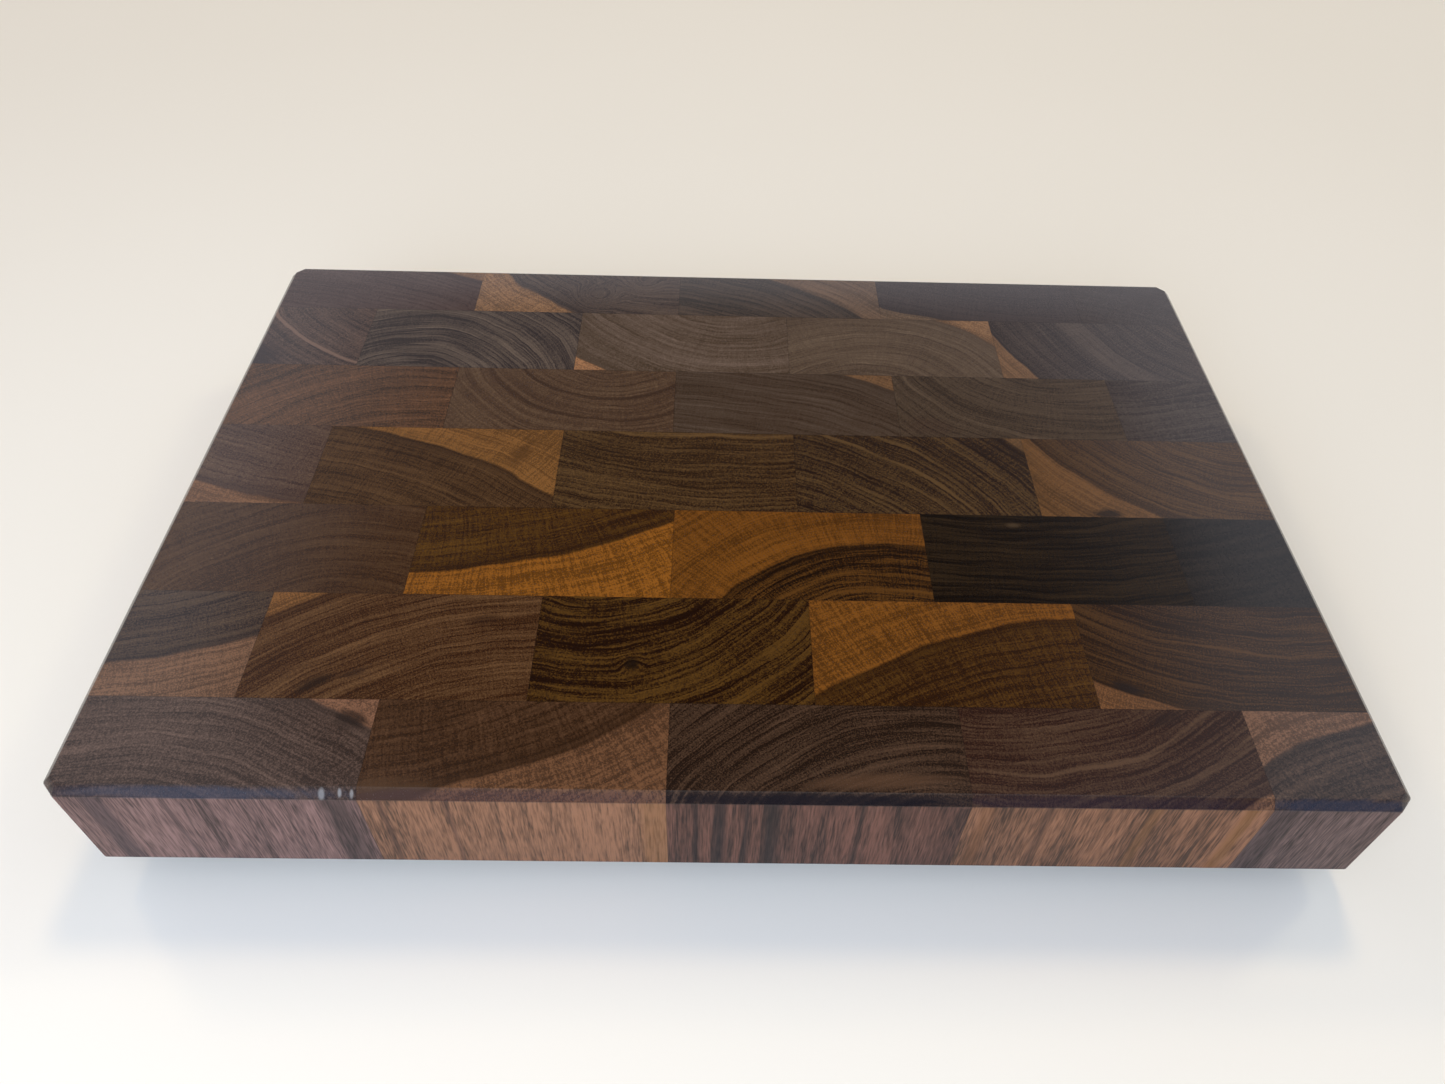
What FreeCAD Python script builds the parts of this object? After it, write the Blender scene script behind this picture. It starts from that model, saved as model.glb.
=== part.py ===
# End-grain walnut cutting board on four screwed rubber feet.
# Frame: origin on the tabletop below the middle of the board, +X along the
# long side, +Y away from the front edge, +Z up. Millimetres.
import FreeCAD, Part
import os

import Sketcher
from FreeCAD import Vector

ROWS = 7
BLOCKS = 5
SIDES = {"left": -1, "right": 1}
ENDS = {"front": -1, "back": 1}
FLAT = 1e-6  # a length that counts as none
UP = Vector(0, 0, 1)

# Alias, value in millimetres, what it is.
SIZES = [
    ("board_length", 457.2, "18 in, left to right"),
    ("board_depth", 304.8, "12 in, front to back"),
    ("board_thick", 49.0, "2 in stock, surfaced both sides"),
    ("corner_chamfer", 5.2, "flats across the upright corners"),
    ("rim_chamfer", 3.1, "45 degree rim, top and bottom"),
    ("trim_stock", 6.0, "overhang of the glued-up rows, cut off in trimming"),
    ("block_length", 101.6, "4 in block, four and a half of them to a row"),
    ("row_depth_1", 37.5, "front row, trimmed"),
    ("row_depth_2", 47.9, "second row from the front"),
    ("row_depth_3", 46.9, "third row"),
    ("row_depth_4", 48.0, "fourth row"),
    ("row_depth_5", 42.8, "fifth row"),
    ("row_depth_6", 45.0, "sixth row; the back row takes what is left"),
    ("row_shift_1", 2.2, "how far a row slid in the clamps, along +X"),
    ("row_shift_2", 2.6, "second row"),
    ("row_shift_3", 0.4, "third row"),
    ("row_shift_4", 0.6, "fourth row"),
    ("row_shift_5", -2.0, "fifth row"),
    ("row_shift_6", 0.6, "sixth row"),
    ("row_shift_7", -2.5, "back row"),
    ("foot_height", 13.0, "tabletop to the underside of the board"),
    ("foot_inset", 27.0, "edge of the board to the middle of a foot"),
    ("foot_top_radius", 13.0, "against the board"),
    ("foot_tip_radius", 11.2, "against the table"),
    ("foot_round", 1.2, "rounded rims of a foot"),
    ("recess_radius", 6.4, "pocket for the washer and the screw head"),
    ("recess_depth", 7.5, "how far the pocket goes up into the foot"),
    ("clear_radius", 2.3, "hole through foot and washer"),
    ("washer_radius", 6.2, "outer radius"),
    ("washer_thick", 1.0, "steel washer"),
    ("head_radius", 4.1, "pan head"),
    ("head_height", 2.6, "pan head"),
    ("head_round", 1.3, "rounded rim of the head"),
    ("shank_radius", 2.1, "4.2 mm wood screw"),
    ("screw_length", 19.0, "under the head"),
    ("screw_point", 4.0, "length of the cone at the tip"),
    ("drive_reach", 4.6, "span of the cross recess"),
    ("drive_width", 1.1, "width of one arm of the cross"),
    ("drive_depth", 1.5, "depth of the cross recess"),
    ("pilot_radius", 2.15, "hole that a screw turns into"),
    ("pilot_depth", 15.0, "up into the board"),
]

os.makedirs("parts", exist_ok=True)
doc = FreeCAD.newDocument("cutting_board")


def make_sheet():
    """The driving dimensions, one to a line, named in column B."""
    sheet = doc.addObject("Spreadsheet::Sheet", "sizes")
    for line, (alias, value, note) in enumerate(SIZES, start=1):
        sheet.set(f"A{line}", alias)
        sheet.set(f"B{line}", str(value))
        sheet.set(f"C{line}", note)
        sheet.setAlias(f"B{line}", alias)
    doc.recompute()


# ---------------------------------------------------------------- helpers
def bind(thing, **formulas):
    """Tie an object's properties to formulas over the sheet."""
    for name, formula in formulas.items():
        thing.setExpression(name, formula)


def move_to(thing, x="0", y="0", z="0"):
    """Tie an object's place to formulas over the sheet."""
    for axis, formula in zip("xyz", (x, y, z)):
        thing.setExpression(f"Placement.Base.{axis}", formula)


def new_body(label):
    body = doc.addObject("PartDesign::Body", label)
    body.Label = label
    return body


def new_sketch(body, name, role):
    """An empty sketch on one of the body's own origin planes."""
    sketch = body.newObject("Sketcher::SketchObject", name)
    plane = next(f for f in body.Origin.OriginFeatures if f.Role == role)
    sketch.AttachmentSupport = [(plane, "")]
    sketch.MapMode = "FlatFace"
    return sketch


def dimension(sketch, formula, kind, *where):
    """A distance or radius that follows the sheet."""
    index = sketch.addConstraint(Sketcher.Constraint(kind, *where, 1.0))
    sketch.setExpression(f"Constraints[{index}]", formula)


def draw_loop(sketch, corners):
    """Straight lines through the corners and back to the first one."""
    count = len(corners)
    for k in range(count):
        start, end = Vector(*corners[k], 0), Vector(*corners[(k + 1) % count], 0)
        sketch.addGeometry(Part.LineSegment(start, end))
    for k in range(count):
        joined = ("Coincident", k, 2, (k + 1) % count, 1)
        sketch.addConstraint(Sketcher.Constraint(*joined))


def draw_rectangle(sketch, wide, deep):
    """A rectangle about the sketch's origin."""
    draw_loop(sketch, [(-9, -6), (9, -6), (9, 6), (-9, 6)])
    for line in (0, 2):
        sketch.addConstraint(Sketcher.Constraint("Horizontal", line))
    for line in (1, 3):
        sketch.addConstraint(Sketcher.Constraint("Vertical", line))
    sketch.addConstraint(Sketcher.Constraint("Symmetric", 0, 1, 2, 1, -1, 1))
    dimension(sketch, wide, "DistanceX", 0, 1, 0, 2)
    dimension(sketch, deep, "DistanceY", 1, 1, 1, 2)


def draw_section(sketch, corners):
    """Half of a turned section: a radius and a height for every corner."""
    draw_loop(sketch, [(5 + 3 * k, 4 + 5 * (k % 3)) for k in range(len(corners))])
    for k, (radius, height) in enumerate(corners):
        for kind, formula, axis in (("X", radius, -2), ("Y", height, -1)):
            if formula == "0":
                on_axis = ("PointOnObject", k, 1, axis)
                sketch.addConstraint(Sketcher.Constraint(*on_axis))
            else:
                dimension(sketch, formula, f"Distance{kind}", -1, 1, k, 1)


def turn(body, name, corners):
    """A full revolution of a section about the body's upright axis."""
    sketch = new_sketch(body, f"{name}_section", "XZ_Plane")
    draw_section(sketch, corners)
    turned = body.newObject("PartDesign::Revolution", name)
    turned.Profile = sketch
    turned.ReferenceAxis = (sketch, ["V_Axis"])
    turned.Angle = 360
    doc.recompute()
    return turned


def dress(body, kind, name, base, picked, **formulas):
    """A fillet or chamfer on the base feature's edges that pass a test."""
    edges = base.Shape.Edges
    names = [f"Edge{n}" for n, edge in enumerate(edges, start=1) if picked(edge)]
    feature = body.newObject(f"PartDesign::{kind}", name)
    feature.Base = (base, names)
    bind(feature, **formulas)
    doc.recompute()
    return feature


def cut_upwards(body, name, sketch, depth):
    """A pocket that goes up from a sketch on the body's lowest plane."""
    before = body.Shape.Volume
    pocket = body.newObject("PartDesign::Pocket", name)
    pocket.Profile = sketch
    pocket.Reversed = True
    bind(pocket, Length=depth)
    doc.recompute()
    if body.Shape.Volume >= before:
        raise RuntimeError(f"{name} cuts nothing")
    return pocket


def is_level(edge, height=None):
    """An edge that lies level, at one height where that is given."""
    box = edge.BoundBox
    level = box.ZLength < FLAT
    return level and (height is None or abs(box.ZMin - height) < FLAT)


def is_upright(edge):
    box = edge.BoundBox
    return box.ZLength > FLAT and box.XLength < FLAT and box.YLength < FLAT


def is_ring(edge, radius, height):
    """A circle about the turning axis, of one radius, at one height."""
    round_edge = isinstance(edge.Curve, Part.Circle)
    return round_edge and is_level(edge, height) and abs(edge.Curve.Radius - radius) < FLAT


def foot_place(side, end):
    """Middle of a foot, as formulas for x and y."""
    x = f"{SIDES[side]} * (sizes.board_length / 2 - sizes.foot_inset)"
    y = f"{ENDS[end]} * (sizes.board_depth / 2 - sizes.foot_inset)"
    return x, y


# ---------------------------------------------------------------- the wood
def make_blank():
    """The glued-up board after trimming: outline, corners, rims, pilot holes."""
    body = new_body("trimmed_board")
    outline = new_sketch(body, "board_outline", "XY_Plane")
    draw_rectangle(outline, "sizes.board_length", "sizes.board_depth")
    slab = body.newObject("PartDesign::Pad", "board_slab")
    slab.Profile = outline
    bind(slab, Length="sizes.board_thick")
    doc.recompute()
    corners = dress(
        body, "Chamfer", "board_corners", slab, is_upright, Size="sizes.corner_chamfer"
    )
    dress(body, "Chamfer", "board_rims", corners, is_level, Size="sizes.rim_chamfer")

    holes = new_sketch(body, "pilot_holes", "XY_Plane")
    for x, y in ((9, 9), (-9, 9), (-9, -9), (9, -9)):
        holes.addGeometry(Part.Circle(Vector(x, y, 0), UP, 1))
    dimension(holes, "sizes.pilot_radius", "Radius", 0)
    dimension(holes, "sizes.board_length / 2 - sizes.foot_inset", "DistanceX", -1, 1, 0, 3)
    dimension(holes, "sizes.board_depth / 2 - sizes.foot_inset", "DistanceY", -1, 1, 0, 3)
    for hole, twin, axis in ((1, 0, -2), (3, 0, -1), (2, 1, -1)):
        holes.addConstraint(Sketcher.Constraint("Equal", 0, hole))
        holes.addConstraint(Sketcher.Constraint("Symmetric", twin, 3, hole, 3, axis))
    cut_upwards(body, "pilot_drilling", holes, "sizes.pilot_depth")
    move_to(body, z="sizes.foot_height")
    return body


def seam_across(row, seam):
    """x of a row's upright seam; the first and last are its untrimmed ends."""
    if seam == 0:
        return "-sizes.board_length / 2 - sizes.trim_stock"
    if seam == BLOCKS:
        return "sizes.board_length / 2 + sizes.trim_stock"
    blocks_before = seam if row % 2 else seam - 0.5
    start = f"-sizes.board_length / 2 + sizes.row_shift_{row}"
    return f"{start} + {blocks_before} * sizes.block_length"


def seam_along(row):
    """y of the seam in front of a row; the outermost are untrimmed sides."""
    if row == 1:
        return "-sizes.board_depth / 2 - sizes.trim_stock"
    if row > ROWS:
        return "sizes.board_depth / 2 + sizes.trim_stock"
    in_front = [f"sizes.row_depth_{number}" for number in range(1, row)]
    return " + ".join(["-sizes.board_depth / 2"] + in_front)


def make_block(row, number, board):
    """One block with its grain upright: a sawn billet, then what trimming leaves."""
    name = f"row_{row}_block_{number}"
    left, right = seam_across(row, number - 1), seam_across(row, number)
    front, back = seam_along(row), seam_along(row + 1)
    billet = doc.addObject("Part::Box", f"billet_{row}_{number}")
    bind(
        billet,
        Length=f"({right}) - ({left})",
        Width=f"({back}) - ({front})",
        Height="sizes.board_thick + 2 * sizes.trim_stock",
    )
    move_to(billet, left, front, "sizes.foot_height - sizes.trim_stock")
    block = doc.addObject("Part::Common", name)
    block.Label = name
    block.Base = board
    block.Tool = billet
    return block


# ---------------------------------------------------------------- the feet
def make_foot(side, end):
    """A moulded rubber foot, wider at the board, with a pocket underneath."""
    name = f"foot_{end}_{side}"
    body = new_body(name)
    turned = turn(
        body,
        f"{name}_form",
        [
            ("sizes.recess_radius", "0"),
            ("sizes.foot_tip_radius", "0"),
            ("sizes.foot_top_radius", "sizes.foot_height"),
            ("sizes.clear_radius", "sizes.foot_height"),
            ("sizes.clear_radius", "sizes.recess_depth"),
            ("sizes.recess_radius", "sizes.recess_depth"),
        ],
    )
    sheet = doc.sizes
    rims = (
        (sheet.foot_tip_radius, 0),
        (sheet.recess_radius, 0),
        (sheet.foot_top_radius, sheet.foot_height),
    )
    dress(
        body,
        "Fillet",
        f"{name}_rims",
        turned,
        lambda edge: any(is_ring(edge, *rim) for rim in rims),
        Radius="sizes.foot_round",
    )
    move_to(body, *foot_place(side, end))
    return body


def make_washer():
    """The washer in the pocket of the back right foot."""
    solids = []
    for name, radius in (("disc", "washer_radius"), ("hole", "clear_radius")):
        solid = doc.addObject("Part::Cylinder", f"washer_{name}")
        bind(solid, Radius=f"sizes.{radius}", Height="sizes.washer_thick")
        lowest = "sizes.recess_depth - sizes.washer_thick"
        move_to(solid, *foot_place("right", "back"), lowest)
        solids.append(solid)
    washer = doc.addObject("Part::Cut", "washer")
    washer.Base, washer.Tool = solids
    return washer


def make_screw():
    """The pan-head wood screw of the back right foot, head down."""
    body = new_body("screw")
    shoulder = "sizes.head_height + sizes.screw_length - sizes.screw_point"
    turned = turn(
        body,
        "screw_form",
        [
            ("0", "0"),
            ("sizes.head_radius", "0"),
            ("sizes.head_radius", "sizes.head_height"),
            ("sizes.shank_radius", "sizes.head_height"),
            ("sizes.shank_radius", shoulder),
            ("0", "sizes.head_height + sizes.screw_length"),
        ],
    )
    head_rim = (doc.sizes.head_radius, 0)
    dress(
        body,
        "Fillet",
        "screw_head_rim",
        turned,
        lambda edge: is_ring(edge, *head_rim),
        Radius="sizes.head_round",
    )
    span, width = "sizes.drive_reach", "sizes.drive_width"
    for name, wide, deep in (("slot", span, width), ("cross", width, span)):
        arm = new_sketch(body, f"drive_{name}", "XY_Plane")
        draw_rectangle(arm, wide, deep)
        cut_upwards(body, f"drive_{name}_cut", arm, "sizes.drive_depth")
    lowest = "sizes.recess_depth - sizes.washer_thick - sizes.head_height"
    move_to(body, *foot_place("right", "back"), lowest)
    return body


def one_per_foot(label, first):
    """The first piece and its mirror images at the other three feet."""

    def mirrored(name, source, normal):
        twin = doc.addObject("Part::Mirroring", name)
        twin.Source = source
        twin.Normal = normal
        return twin

    across, along = Vector(1, 0, 0), Vector(0, 1, 0)
    left = mirrored(f"{label}_back_left", first, across)
    front = mirrored(f"{label}_front_right", first, along)
    far = mirrored(f"{label}_front_left", left, along)
    group = doc.addObject("Part::Compound", label)
    group.Label = label
    group.Links = [first, left, front, far]
    return group


# ---------------------------------------------------------------- assembly
make_sheet()
board = make_blank()
blocks = [
    make_block(row, number, board)
    for row in range(1, ROWS + 1)
    for number in range(1, BLOCKS + 1)
]
feet = [make_foot(side, end) for end in ENDS for side in SIDES]
hardware = [
    one_per_foot("foot_washers", make_washer()),
    one_per_foot("foot_screws", make_screw()),
]
doc.recompute()

for thing in doc.Objects:
    if {"Invalid", "Error"} & set(thing.State):
        raise RuntimeError(f"{thing.Label} is {thing.State}")

nodes = blocks + feet + hardware
for node in nodes:
    if node.Shape.isNull() or not node.Shape.isValid():
        raise RuntimeError(f"{node.Label} has no valid shape")
    solids = len(node.Shape.Solids)
    if solids != (len(feet) if node in hardware else 1):
        raise RuntimeError(f"{node.Label} has {solids} solids")

wood = sum(block.Shape.Volume for block in blocks)
if abs(wood - board.Shape.Volume) > FLAT * wood:
    raise RuntimeError("the blocks don't add up to the board")

for node in nodes:
    node.Shape.exportStep(f"parts/{node.Label}.step")
print(f"{len(nodes)} nodes, wood {wood / 1e6:.3f} litres")
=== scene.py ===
# %% [markdown]
# An end-grain walnut cutting board: thirty-five blocks with the grain upright,
# glued in seven staggered rows, chamfered all round and raised on four screwed
# rubber feet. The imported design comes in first, and everything below is placed
# from it. Lengths are in metres, the way Blender counts.

# %% Load the design
import math

import bmesh
import bpy
from mathutils import Euler, Matrix, Vector


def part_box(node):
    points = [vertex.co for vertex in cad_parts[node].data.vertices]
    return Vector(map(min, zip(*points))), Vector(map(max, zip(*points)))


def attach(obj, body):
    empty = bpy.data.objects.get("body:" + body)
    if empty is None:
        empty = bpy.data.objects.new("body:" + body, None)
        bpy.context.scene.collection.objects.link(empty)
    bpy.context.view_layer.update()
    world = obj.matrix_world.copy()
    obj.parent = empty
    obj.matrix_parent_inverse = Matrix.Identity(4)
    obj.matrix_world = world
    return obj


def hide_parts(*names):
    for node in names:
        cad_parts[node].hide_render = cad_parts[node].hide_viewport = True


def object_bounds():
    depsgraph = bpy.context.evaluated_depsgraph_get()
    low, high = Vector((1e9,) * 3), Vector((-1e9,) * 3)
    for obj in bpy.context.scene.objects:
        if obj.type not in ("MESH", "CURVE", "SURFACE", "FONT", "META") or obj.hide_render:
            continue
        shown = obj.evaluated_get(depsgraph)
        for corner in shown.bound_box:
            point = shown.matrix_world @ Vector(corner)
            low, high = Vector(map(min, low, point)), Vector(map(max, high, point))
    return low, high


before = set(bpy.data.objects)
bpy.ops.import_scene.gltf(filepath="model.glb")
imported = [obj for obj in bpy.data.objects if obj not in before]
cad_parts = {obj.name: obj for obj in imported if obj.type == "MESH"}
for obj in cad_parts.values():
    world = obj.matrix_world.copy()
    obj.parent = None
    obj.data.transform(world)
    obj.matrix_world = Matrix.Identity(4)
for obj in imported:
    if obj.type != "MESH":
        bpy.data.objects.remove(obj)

MM = 0.001
cad_low, cad_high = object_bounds()
board_low, board_high = cad_low.copy(), cad_high.copy()
board_low.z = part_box("row_1_block_1")[0].z
board_size = board_high - board_low
print("board", [round(side / MM, 1) for side in board_size], "mm")

# %% [markdown]
# ## The camera
# The camera comes first, because every finish is judged through it. It stands
# in front of the board and looks down on it, a degree and a half off level,
# with a short lens that makes the near edge look much longer than the far one.
# An empty could aim it, but three given angles are easier to nudge.

# %% Camera
bpy.ops.object.camera_add(
    location=(-9.6 * MM, -324.5 * MM, board_high.z + 313.7 * MM),
    rotation=[math.radians(turn) for turn in (42.7, -1.5, -0.1)],
)
camera = bpy.context.object
camera.name = "camera"
camera.data.sensor_width = 36
camera.data.lens = 26.35
camera.data.shift_x = -0.0073
camera.data.shift_y = -0.0032
bpy.context.scene.camera = camera
bpy.context.scene.view_settings.view_transform = "Standard"
print("lens", round(camera.data.lens, 1), "mm")

# %% [markdown]
# ## Helpers
# A finish is a web of nodes, so one helper adds a node with its settings and
# plugs in what feeds it. Colours are written as the hex values a paint chart
# gives, and turned into the linear light that shaders add up.

# %% Colour and node helpers
def linear(hex_colour, gain=1.0):
    """An sRGB hex colour as linear numbers, made brighter or darker by gain."""
    channels = [int(hex_colour[k:k + 2], 16) / 255 for k in (1, 3, 5)]
    light = [c / 12.92 if c <= 0.04045 else ((c + 0.055) / 1.055) ** 2.4 for c in channels]
    return (*[c * gain for c in light], 1.0)


def add(tree, kind, inputs=None, **settings):
    """A node with its settings, each input given as a value or as an output to link."""
    node = tree.nodes.new("ShaderNode" + kind)
    for name, value in settings.items():
        setattr(node, name, value)
    for socket, value in (inputs or {}).items():
        if isinstance(value, bpy.types.NodeSocket):
            tree.links.new(value, node.inputs[socket])
        else:
            node.inputs[socket].default_value = value
    return node


def new_finish(name):
    """A material with an empty node tree, and its shader."""
    finish = bpy.data.materials.new(name)
    finish.use_nodes = True
    finish.node_tree.nodes.clear()
    shader = add(finish.node_tree, "BsdfPrincipled")
    add(finish.node_tree, "OutputMaterial", {"Surface": shader.outputs[0]})
    return finish, finish.node_tree, shader


# %% [markdown]
# ## Studio
# A board oiled to a satin shows the room in its surface, so the light is laid
# out for the gloss first. The room glows softly all round, except for a dark
# patch high behind the board, where the near half of the top looks for its
# reflection: that half stays deep brown, and the far edge and both ends catch
# a cool haze. Three ceiling lamps behind the board throw its short shadows
# towards the camera, and a low cool window in front lifts the front face.
# Lamps would leave glare on the wood, so they are hidden from the gloss and
# only light it.

# %% Room glow
room = bpy.data.worlds.new("room")
bpy.context.scene.world = room
room.use_nodes = True
tree = room.node_tree
tree.nodes.clear()
DARK_PATCH = (0.0, 0.56, 0.83)   # the way towards it, up and behind the board
SKY = (0.92, 0.95, 1.06)         # a cool white
# how near a direction is to the dark patch, and how strongly the room glows there
GLOW = ((0.35, 0.42), (0.62, 0.78), (0.858, 0.85), (0.93, 0.02))
way = add(tree, "TexCoord").outputs["Generated"]
towards = add(tree, "VectorMath", {0: way, 1: DARK_PATCH}, operation="DOT_PRODUCT")
glow = add(tree, "ValToRGB", {"Fac": towards.outputs["Value"]})
stops = glow.color_ramp.elements
stops[0].position = 0.0
stops[0].color = (0.25, 0.28, 0.38, 1)
stops[1].position = 1.0
stops[1].color = (0.01, 0.01, 0.01, 1)
for at, strength in GLOW:
    stops.new(at).color = (*[strength * channel for channel in SKY], 1)
background = add(tree, "Background", {"Color": glow.outputs["Color"], "Strength": 1.0})
add(tree, "OutputWorld", {"Surface": background.outputs[0]})
print("glow stops", len(stops))


# %% Lamps
def lamp(name, place, size, power, colour):
    """A round soft lamp aimed at the middle of the board, and hidden from the gloss."""
    data = bpy.data.lights.new(name, "AREA")
    data.shape = "DISK"
    data.size = size
    data.energy = power
    data.color = linear(colour)[:3]
    shade = bpy.data.objects.new(name, data)
    bpy.context.collection.objects.link(shade)
    shade.location = place
    aim = Vector((0, 0, board_high.z)) - Vector(place)
    shade.rotation_euler = aim.to_track_quat("-Z", "Y").to_euler()
    shade.visible_glossy = False


lamp("middle_lamp", (0.38, 1.1, 2.8), 0.5, 20, "#ffe0ae")
lamp("left_lamp", (-2.0, 1.8, 2.4), 0.5, 15, "#ffe2b2")
lamp("right_lamp", (2.3, 1.4, 2.6), 0.5, 13, "#fbf1c9")
lamp("window", (-0.24, -0.8, 0.6), 0.9, 9.4, "#deeaff")

# %% [markdown]
# The board stands on pressed laminate: a warm white with the faintest
# clouding, matt enough to take a soft shadow without showing a reflection.

# %% Tabletop
bpy.ops.object.select_all(action="DESELECT")
bpy.ops.mesh.primitive_plane_add(size=8, location=(0, 0, 0))
floor = bpy.context.object
floor.name = "tabletop"
finish, tree, shader = new_finish("white_laminate_pressed")
shader.inputs["Roughness"].default_value = 0.55
place = add(tree, "TexCoord").outputs["Object"]
cloud = add(tree, "TexNoise", {"Vector": place, "Scale": 2.5, "Detail": 2.0})
tint = add(tree, "Mix", {
    "Factor": cloud.outputs["Fac"], 6: linear("#e8e5da"), 7: linear("#ece9df"),
}, data_type="RGBA")
tree.links.new(tint.outputs[2], shader.inputs["Base Color"])
floor.data.materials.append(finish)
print("tabletop", floor.dimensions.x, "m across")

# %% [markdown]
# ## The board's shape
# The real board is glued up as rough blocks and only then planed, cut across
# its corners at 45 degrees and routed to a chamfer. The model goes the same
# way: one blank takes every cut, then copies of it are sliced down to single
# blocks, so the chamfer and the corners run true from one block to the next.
# Building each block on its own would mean matching the cuts thirty-five times.

# %% Sizes of the cuts
CORNER = 5.2 * MM         # along each side of an upright corner
CHAMFER = 3.1 * MM        # along the rims, top and bottom
ARRIS = 0.45 * MM         # sanded off every edge that is left
PILOT_RADIUS = 2.15 * MM
PILOT_DEPTH = 15 * MM
TINY = 0.01 * MM          # two places nearer than this are one place
print("corner", CORNER / MM, "chamfer", CHAMFER / MM, "arris", ARRIS / MM, "mm")


# %% Selecting in code
def select_edges(obj, wanted):
    """Selects the edges that wanted() says yes to, in edit mode, and counts them."""
    shape = bmesh.from_edit_mesh(obj.data)
    bpy.ops.mesh.select_all(action="DESELECT")
    bpy.ops.mesh.select_mode(type="EDGE")
    found = [edge for edge in shape.edges if wanted(edge)]
    for edge in found:
        edge.select_set(True)
    bmesh.update_edit_mesh(obj.data)
    return len(found)


def select_faces(obj, wanted):
    """The same for faces."""
    shape = bmesh.from_edit_mesh(obj.data)
    bpy.ops.mesh.select_all(action="DESELECT")
    bpy.ops.mesh.select_mode(type="FACE")
    found = [face for face in shape.faces if wanted(face)]
    for face in found:
        face.select_set(True)
    bmesh.update_edit_mesh(obj.data)
    return len(found)


def start(name, primitive, **size):
    """A named primitive at its size and place, in edit mode, with nothing else selected."""
    bpy.ops.object.select_all(action="DESELECT")
    primitive(**size)
    obj = bpy.context.object
    obj.name = name
    obj.data.name = name
    bpy.ops.object.transform_apply(location=True, rotation=True, scale=True)
    bpy.ops.object.mode_set(mode="EDIT")
    return obj


def finish_shape(obj, angle=30):
    """Back to object mode, with the broad curves shaded smooth."""
    bpy.ops.object.mode_set(mode="OBJECT")
    bpy.ops.object.shade_smooth_by_angle(angle=math.radians(angle))
    return obj


# %% Blank: corners, chamfer, softened arrises
blank = start(
    "blank", bpy.ops.mesh.primitive_cube_add,
    size=1, location=(board_low + board_high) / 2, scale=board_size,
)
select_edges(blank, lambda edge: abs(edge.verts[0].co.z - edge.verts[1].co.z) > CHAMFER)
bpy.ops.mesh.bevel(offset=CORNER, segments=1)
rims = select_edges(blank, lambda edge: any(abs(f.normal.z) > 0.9 for f in edge.link_faces))
bpy.ops.mesh.bevel(offset=CHAMFER, segments=1)
arrises = select_edges(blank, lambda edge: edge.calc_face_angle(0) > 0.4)
bpy.ops.mesh.bevel(offset=ARRIS, segments=3, profile=0.5)
finish_shape(blank)
print("rim edges", rims, "arris edges", arrises, "faces", len(blank.data.polygons))

# %% Blank: pilot holes for the foot screws
FEET = ("foot_front_left", "foot_front_right", "foot_back_left", "foot_back_right")
foot_places = [sum(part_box(foot), Vector()) / 2 for foot in FEET]
for at in foot_places:
    bpy.ops.object.select_all(action="DESELECT")
    bpy.ops.mesh.primitive_cylinder_add(
        vertices=24, radius=PILOT_RADIUS, depth=2 * PILOT_DEPTH,
        location=(at.x, at.y, board_low.z),
    )
    drill = bpy.context.object
    cut = blank.modifiers.new("pilot", "BOOLEAN")
    cut.operation = "DIFFERENCE"
    cut.solver = "EXACT"
    cut.object = drill
    bpy.context.view_layer.objects.active = blank
    bpy.ops.object.modifier_apply(modifier=cut.name)
    bpy.data.objects.remove(drill)
print("blank with pilot holes", len(blank.data.polygons), "faces")

# %% [markdown]
# Each block is a copy of the blank, bisected at the glue lines that the design
# gives. The flat that a bisect leaves is filled, so every block is a closed
# solid with two or more sawn sides.

# %% Slice the blocks
def slice_block(name):
    """A copy of the blank, cut down to the block of that name."""
    bpy.ops.object.select_all(action="DESELECT")
    block = blank.copy()
    block.data = blank.data.copy()
    block.name = name + "_wood"
    block.data.name = name + "_wood"
    bpy.context.collection.objects.link(block)
    block.select_set(True)
    bpy.context.view_layer.objects.active = block
    low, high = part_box(name)
    bpy.ops.object.mode_set(mode="EDIT")
    for axis in (0, 1):
        for at, side, edge_of_board in (
            (low[axis], -1, board_low[axis]), (high[axis], 1, board_high[axis]),
        ):
            if abs(at - edge_of_board) < 0.5 * MM:
                continue
            point = [0.0, 0.0, 0.0]
            normal = [0.0, 0.0, 0.0]
            point[axis] = at
            normal[axis] = side
            bpy.ops.mesh.select_all(action="SELECT")
            bpy.ops.mesh.bisect(
                plane_co=point, plane_no=normal, use_fill=True, clear_outer=True,
                threshold=0.1 * TINY,
            )
    finish_shape(block)
    return block


blocks = {}
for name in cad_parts:
    if name.startswith("row_"):
        blocks[name] = slice_block(name)
bpy.data.objects.remove(blank)
print("blocks", len(blocks))

# %% [markdown]
# ## Walnut, end grain, sanded and oiled
# Every block is a slice across a plank, so its top shows arcs of growth rings
# about a pith that lies somewhere outside the block. The finish is built the
# way the tree is: coordinates are measured from the pith in millimetres, bent
# a little, and read as a radius, an arc along the ring and a height. Bands and
# year lines follow the radius, medullary rays cross them, pores are drawn out
# along the grain, and pale sapwood starts beyond its own radius. A plain wood
# texture has no rays or sapwood and would repeat, so the rings are made here
# from noise that is read along the radius. Each step has a cell of its own,
# and each lays its colour over the one before.

# %% Grain sizes, in mm
RAY = 0.8         # between rays, drawn coarser than the real 0.2 so that they show
PORE = 0.6        # across a pore, drawn coarser than the real 0.2 so that it shows
PORE_RUN = 9      # along the grain before a pore closes
DASH = 0.4        # across an opened pore on long grain
DASH_RUN = 7      # and along it
BEND = 0.026      # bends in the rings for each mm across the trunk
BEND_RUN = 0.004  # and for each mm along it, where the rings hardly change
BURL_RUN = 0.1    # how much shorter a burl is across the trunk than along it
print("rays", RAY, "pores", PORE, "mm")


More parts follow.
